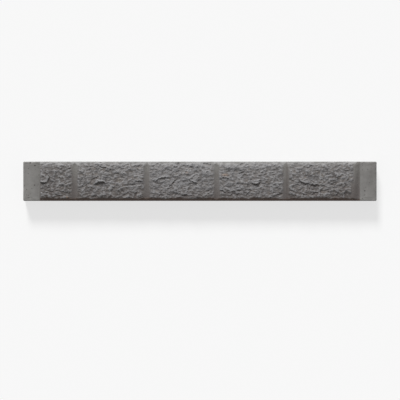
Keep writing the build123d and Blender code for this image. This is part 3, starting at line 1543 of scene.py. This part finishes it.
@dataclass(frozen=True)
class SplitStoneFinish:
    """The cast face: split stone on the blocks, and smooth cement in the joints and on the margins."""

    dark: Colour = (0.082, 0.076, 0.074)
    pale: Colour = (0.222, 0.2185, 0.221)
    warm: Colour = (0.158, 0.144, 0.136)
    # Dirt, also laid in the hollows as painted shade
    dirt_and_shade: Colour = (0.084, 0.071, 0.066)
    earthy: Colour = (0.092, 0.079, 0.069)
    # Pale worn stone, also laid on the ridges as painted highlight
    worn: Colour = (0.262, 0.260, 0.264)
    joint_high: Colour = (0.179, 0.176, 0.166)
    joint_low: Colour = (0.138, 0.122, 0.118)
    # Pale dust, also laid as painted highlight on the upper margin and the head of the course
    dust_and_highlight: Colour = (0.262, 0.260, 0.256)
    damp_and_shade: Colour = DAMP_AND_SHADE
    rust: Colour = (0.300, 0.175, 0.095)
    ochre: Colour = (0.205, 0.170, 0.135)
    slate: Colour = (0.128, 0.131, 0.142)

    def rock(self, bench: ShaderBench, clouds: Socket, rise: Socket) -> Socket:
        """Colours the split stone, with painted shade in its hollows and towards its foot, and painted
        highlight on its ridges and towards its head.

        Args:
            bench: Bench of the finish.
            clouds: Clouds on the stone.
            rise: Height up the course, from 0 to 1.

        Returns:
            Its colour.
        """
        mottle = bench.noise(150 * MM, detail=3)
        grit = bench.noise(7 * MM, detail=3, rough=0.6)
        flecks = bench.noise(17 * MM, detail=3, rough=0.55, at=bench.stretch((0.8, 1.2, 1.0)))
        tone, hollow = bench.mark(Mark.TONE), bench.mark(Mark.HOLLOW)
        # Cloudy patches that darken the stone towards its foot
        foot = bench.times(
            bench.fit(rise, start=0.38, full=0.12),
            bench.fit(clouds, start=0.42, full=0.58, low=0.15, high=0.8),
        )
        # The colours in the order in which they cover each other: each starts and is full at a value of
        # its pattern, where it covers a share of those below it
        coats = (
            (self.pale, clouds, 0.3, 0.7, 1.0),
            (self.dirt_and_shade, grit, 0.5, 0.75, 0.45),
            (self.worn, grit, 0.5, 0.25, 0.45),
            (self.warm, mottle, 0.5, 0.75, 0.4),
            # Darker and warmer towards the lower bed: partly dirt, partly painted shade where the crown
            # turns from the light
            (self.warm, rise, 0.55, 0.0, 0.42),
            # Paler towards the upper bed: partly dust, partly painted highlight where the crown faces the
            # light
            (self.dust_and_highlight, rise, 0.62, 0.97, 0.5),
            (self.ochre, flecks, 0.52, 0.72, 0.42),
            (self.slate, flecks, 0.46, 0.28, 0.5),
            (self.dirt_and_shade, foot, 0.0, 1.0, 1.0),
            # Blocks towards the ends darker and browner, partly their own colour and partly painted shade,
            # the middle ones paler
            (self.earthy, tone, 0.0, -1.0, 1.0),
            (self.worn, tone, 0.0, 1.0, 1.0),
            # Painted shade in the hollows and painted highlight on the ridges, partly dirt and wear
            (self.dirt_and_shade, hollow, 0.0, 1.6, 0.3),
            (self.worn, hollow, 0.0, -1.6, 0.7),
        )
        rock = self.dark
        for colour, pattern, start, full, share in coats:
            rock = bench.coat(rock, colour, pattern, start, full, share)
        return rock

    def make(self, half_height: float, skin: CastSkin) -> bpy.types.Material:
        """Makes the material.

        Args:
            half_height: Half the height of the course.
            skin: Finish of the tongues.

        Returns:
            The material.
        """
        bench = ShaderBench("split_stone_face")
        rise = bench.fit(bench.along("Y"), start=-half_height, full=half_height)
        clouds = bench.noise(44 * MM, detail=4, rough=0.6)
        sand = bench.noise(1.6 * MM, detail=3, rough=0.6)
        _, chance = bench.grains(3.2 * MM)
        tongue = bench.mark(Mark.TONGUE)
        skin_colour, skin_relief = skin.lay(bench)

        # The joints' cement is paler towards the upper bed and darker towards the lower, partly as painted
        # shade where the crown turns from the light
        cement = bench.blend(self.joint_low, self.joint_high, rise)
        cement = bench.coat(cement, self.dirt_and_shade, clouds, start=0.35, full=0.7, share=0.3)
        colour = bench.blend(cement, self.rock(bench, clouds, rise), bench.mark(Mark.STONE))
        # The upper margin, which faces the light, gets dust and painted highlight
        cover = bench.fit(clouds, start=0.36, full=0.6, low=0.1)
        colour = bench.blend(colour, self.dust_and_highlight, bench.times(bench.mark(Mark.UPPER_MARGIN), cover))
        # On the lower margin, which turns away from the light, the damp colour is partly painted shade
        stains = {
            Mark.LOWER_MARGIN: self.damp_and_shade,
            Mark.BLEACH: self.worn,
            Mark.RUST: self.rust,
            # Dirt, and painted shade along the sides of some joints and beside a boss
            Mark.DIRT: self.dirt_and_shade,
        }
        for mark, stain in stains.items():
            colour = bench.blend(colour, stain, bench.mark(mark))
        colour = bench.coat(colour, self.dirt_and_shade, chance, start=0.93, full=0.96, share=0.45)
        sparkle = bench.fit(sand, start=0.3, full=0.7, high=0.3)
        colour = bench.blend(colour, self.worn, sparkle, Way.SOFTEN)
        colour = bench.blend(colour, skin_colour, tongue)

        roughness = bench.fit(clouds, start=0.3, full=0.7, low=0.82, high=0.96)
        fine = bench.times(bench.noise(5 * MM, detail=4, rough=0.6), bench.less(1.0, tongue))
        normal = bench.emboss(fine, 1.3 * MM)
        normal = bench.emboss(sand, 0.35 * MM, normal)
        normal = bench.emboss(bench.times(skin_relief, tongue), 0.8 * MM, normal)
        return bench.finish(colour, roughness, normal)


@dataclass(frozen=True)
class MouldedFinish:
    """The beds and ends: cement as it leaves the mould, with damp stain and painted shade below the lower
    margin.
    """

    damp_and_shade: Colour = DAMP_AND_SHADE

    def make(self, skin: CastSkin) -> bpy.types.Material:
        """Makes the material.

        Args:
            skin: The cement's skin.

        Returns:
            The material.
        """
        bench = ShaderBench("moulded_beds")
        colour, relief = skin.lay(bench)
        streaks = bench.noise(30 * MM, detail=4, rough=0.6, at=bench.stretch((1.0, 1.0, 0.3)))
        cover = bench.fit(streaks, start=0.35, full=0.6, low=0.2, high=0.9)
        # The lower margin's damp colour, partly painted shade, runs down the bed under it
        colour = bench.blend(colour, self.damp_and_shade, bench.times(bench.mark(Mark.STAIN), cover))
        clouds = bench.noise(60 * MM, detail=5, rough=0.6)
        roughness = bench.fit(clouds, start=0.3, full=0.7, low=0.7, high=0.9)
        return bench.finish(colour, roughness, bench.emboss(relief, 0.8 * MM))


@dataclass(frozen=True)
class FloatedFinish:
    """The back: struck off and floated by hand, with drag marks along it."""

    dark: Colour = (0.155, 0.150, 0.143)
    pale: Colour = (0.225, 0.219, 0.209)

    def make(self) -> bpy.types.Material:
        """Makes the material.

        Returns:
            The material.
        """
        bench = ShaderBench("floated_back")
        drag = bench.noise(6 * MM, detail=3, rough=0.6, at=bench.stretch((0.04, 1.0, 1.0)))
        clouds = bench.noise(90 * MM, detail=5, rough=0.6)
        sand = bench.noise(2.2 * MM, detail=3, rough=0.65)
        colour = bench.coat(self.dark, self.pale, clouds, start=0.3, full=0.7)
        colour = bench.coat(colour, self.dark, drag, start=0.4, full=0.75, share=0.4)
        roughness = bench.fit(clouds, start=0.3, full=0.7, low=0.85, high=0.97)
        normal = bench.emboss(drag, 1.2 * MM)
        return bench.finish(colour, roughness, bench.emboss(sand, 0.5 * MM, normal))


@dataclass
class Studio:
    """A pale floor, soft light from above the course, and the camera.

    Attributes:
        course_pixels: Height of one course in the photo, whose frame is 400 pixels square.
        course_middle: Pixel at the middle of the course that is built.
        frame_pixels: Width of the photo.
        distance: From the camera to the floor.
        sensor: Width of the camera's sensor, in millimetres.
        key_elevation: Height of the main light above the floor, in degrees.
        key_swing: Turn of the main light towards the left, in degrees.
        key_spread: Width of the main light, in degrees.
        key_share: Its share of the light on the face.
        fill_share: Share of the light that comes from all round.
        floor_half: Half the width of the floor.
        floor_level: Level of the floor, just below the back.
        floor_roughness: Roughness of the floor.
        floor_colour: Colour of the floor and the background.
        floor_glow: How far the floor shows its own colour in place of the light on it.
    """

    course_pixels: float = 39.28
    course_middle: tuple[float, float] = (199.9, 181.25)
    frame_pixels: float = 400.0
    distance: float = 8.0
    sensor: float = 36.0
    key_elevation: float = 32.0
    key_swing: float = 12.0
    key_spread: float = 16.0
    key_share: float = 0.69
    fill_share: float = 0.33
    floor_half: float = 40.0
    floor_level: float = -0.2 * MM
    floor_roughness: float = 0.95
    floor_colour: Colour = (0.93, 0.93, 0.93)
    floor_glow: float = 0.72

    def lay_floor(self) -> bpy.types.Object:
        """Lays the floor.

        Returns:
            The floor.
        """
        half = self.floor_half
        mesh = bpy.data.meshes.new("floor")
        outline = ((-half, -half), (half, -half), (half, half), (-half, half))
        mesh.from_pydata([(x, y, self.floor_level) for x, y in outline], [], [(0, 1, 2, 3)])
        mesh.materials.append(self.floor_finish())
        floor = bpy.data.objects.new("floor", mesh)
        bpy.context.scene.collection.objects.link(floor)
        return floor

    def show(self, tree: bpy.types.NodeTree, lit: Socket, shown: Socket, share: float) -> None:
        """Sets apart what is seen, straight on or in a gloss or glass, and what lights the object.

        Args:
            tree: Nodes of the floor or of the room.
            lit: Shader that takes and gives light.
            shown: Shader that is seen.
            share: How much of it is seen in place of the other.
        """
        path = add_node(tree, "LightPath", {}).outputs
        seen = path["Is Camera Ray"]
        for kind in ("Is Glossy Ray", "Is Transmission Ray"):
            seen = add_node(tree, "Math", {0: seen, 1: path[kind]}, operation="MAXIMUM").outputs["Value"]
        seen = add_node(tree, "Math", {0: seen, 1: share}, operation="MULTIPLY").outputs["Value"]
        mix = add_node(tree, "MixShader", {"Fac": seen, 1: lit, 2: shown})
        tree.links.new(mix.outputs["Shader"], tree.get_output_node("ALL").inputs["Surface"])

    def floor_finish(self) -> bpy.types.Material:
        """Makes the floor's material, on which the shadow shows lightly.

        Returns:
            The material.
        """
        material = bpy.data.materials.new("pale_floor")
        material.use_nodes = True
        tree = material.node_tree
        paint = tree.nodes["Principled BSDF"]
        inputs = {"Base Color": self.floor_colour, "Roughness": self.floor_roughness}
        fill(tree, paint, {**inputs, "Specular IOR Level": 0.0})
        glow = add_node(tree, "Emission", {"Color": self.floor_colour})
        self.show(tree, paint.outputs["BSDF"], glow.outputs["Emission"], self.floor_glow)
        return material

    def hang_lights(self) -> None:
        """Hangs the main light beyond the upper bed, and lights the room evenly."""
        lamp = bpy.data.lights.new("key", "SUN")
        lamp.energy = self.key_share * math.pi / math.sin(math.radians(self.key_elevation))
        lamp.angle = math.radians(self.key_spread)
        key = bpy.data.objects.new("key", lamp)
        key.rotation_euler = (math.radians(self.key_elevation - 90.0), 0.0, math.radians(self.key_swing))
        bpy.context.scene.collection.objects.link(key)

        world = bpy.data.worlds.new("room")
        world.use_nodes = True
        tree = world.node_tree
        room = tree.nodes["Background"]
        fill(tree, room, {"Color": (1.0, 1.0, 1.0), "Strength": self.fill_share})
        backdrop = add_node(tree, "Background", {"Color": self.floor_colour})
        self.show(tree, room.outputs["Background"], backdrop.outputs["Background"], 1.0)
        bpy.context.scene.world = world

    def set_camera(self, height: float, face_level: float) -> None:
        """Points the camera straight down at the face, with the course where the photo has it.

        Args:
            height: Height of the course.
            face_level: Level of the face above the floor.
        """
        scale = height / self.course_pixels
        middle = self.frame_pixels / 2
        data = bpy.data.cameras.new("camera")
        data.sensor_width = self.sensor
        data.lens = self.sensor * (self.distance - face_level) / (self.frame_pixels * scale)
        camera = bpy.data.objects.new("camera", data)
        across = (middle - self.course_middle[0]) * scale
        up = (self.course_middle[1] - middle) * scale
        camera.location = (across, up, self.distance)
        bpy.context.scene.collection.objects.link(camera)
        bpy.context.scene.camera = camera


def main() -> None:
    """Builds the sleeper, its finishes and the studio."""
    logging.basicConfig(level=logging.INFO, format="%(message)s")
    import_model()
    low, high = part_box(NODE)
    face = BlockFace(length=high.x - low.x, height=high.y - low.y)
    unit = CastUnit(face)
    piece = unit.build(PIECE)
    unit.dress(piece)
    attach(piece, BODY)
    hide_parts(NODE)
    log.info("%s: %d faces", piece.name, len(piece.data.polygons))

    studio = Studio()
    studio.lay_floor()
    studio.hang_lights()
    studio.set_camera(face.height, face.tongue_thickness)
    bpy.context.scene.view_settings.view_transform = "Standard"


if __name__ == "__main__":
    main()
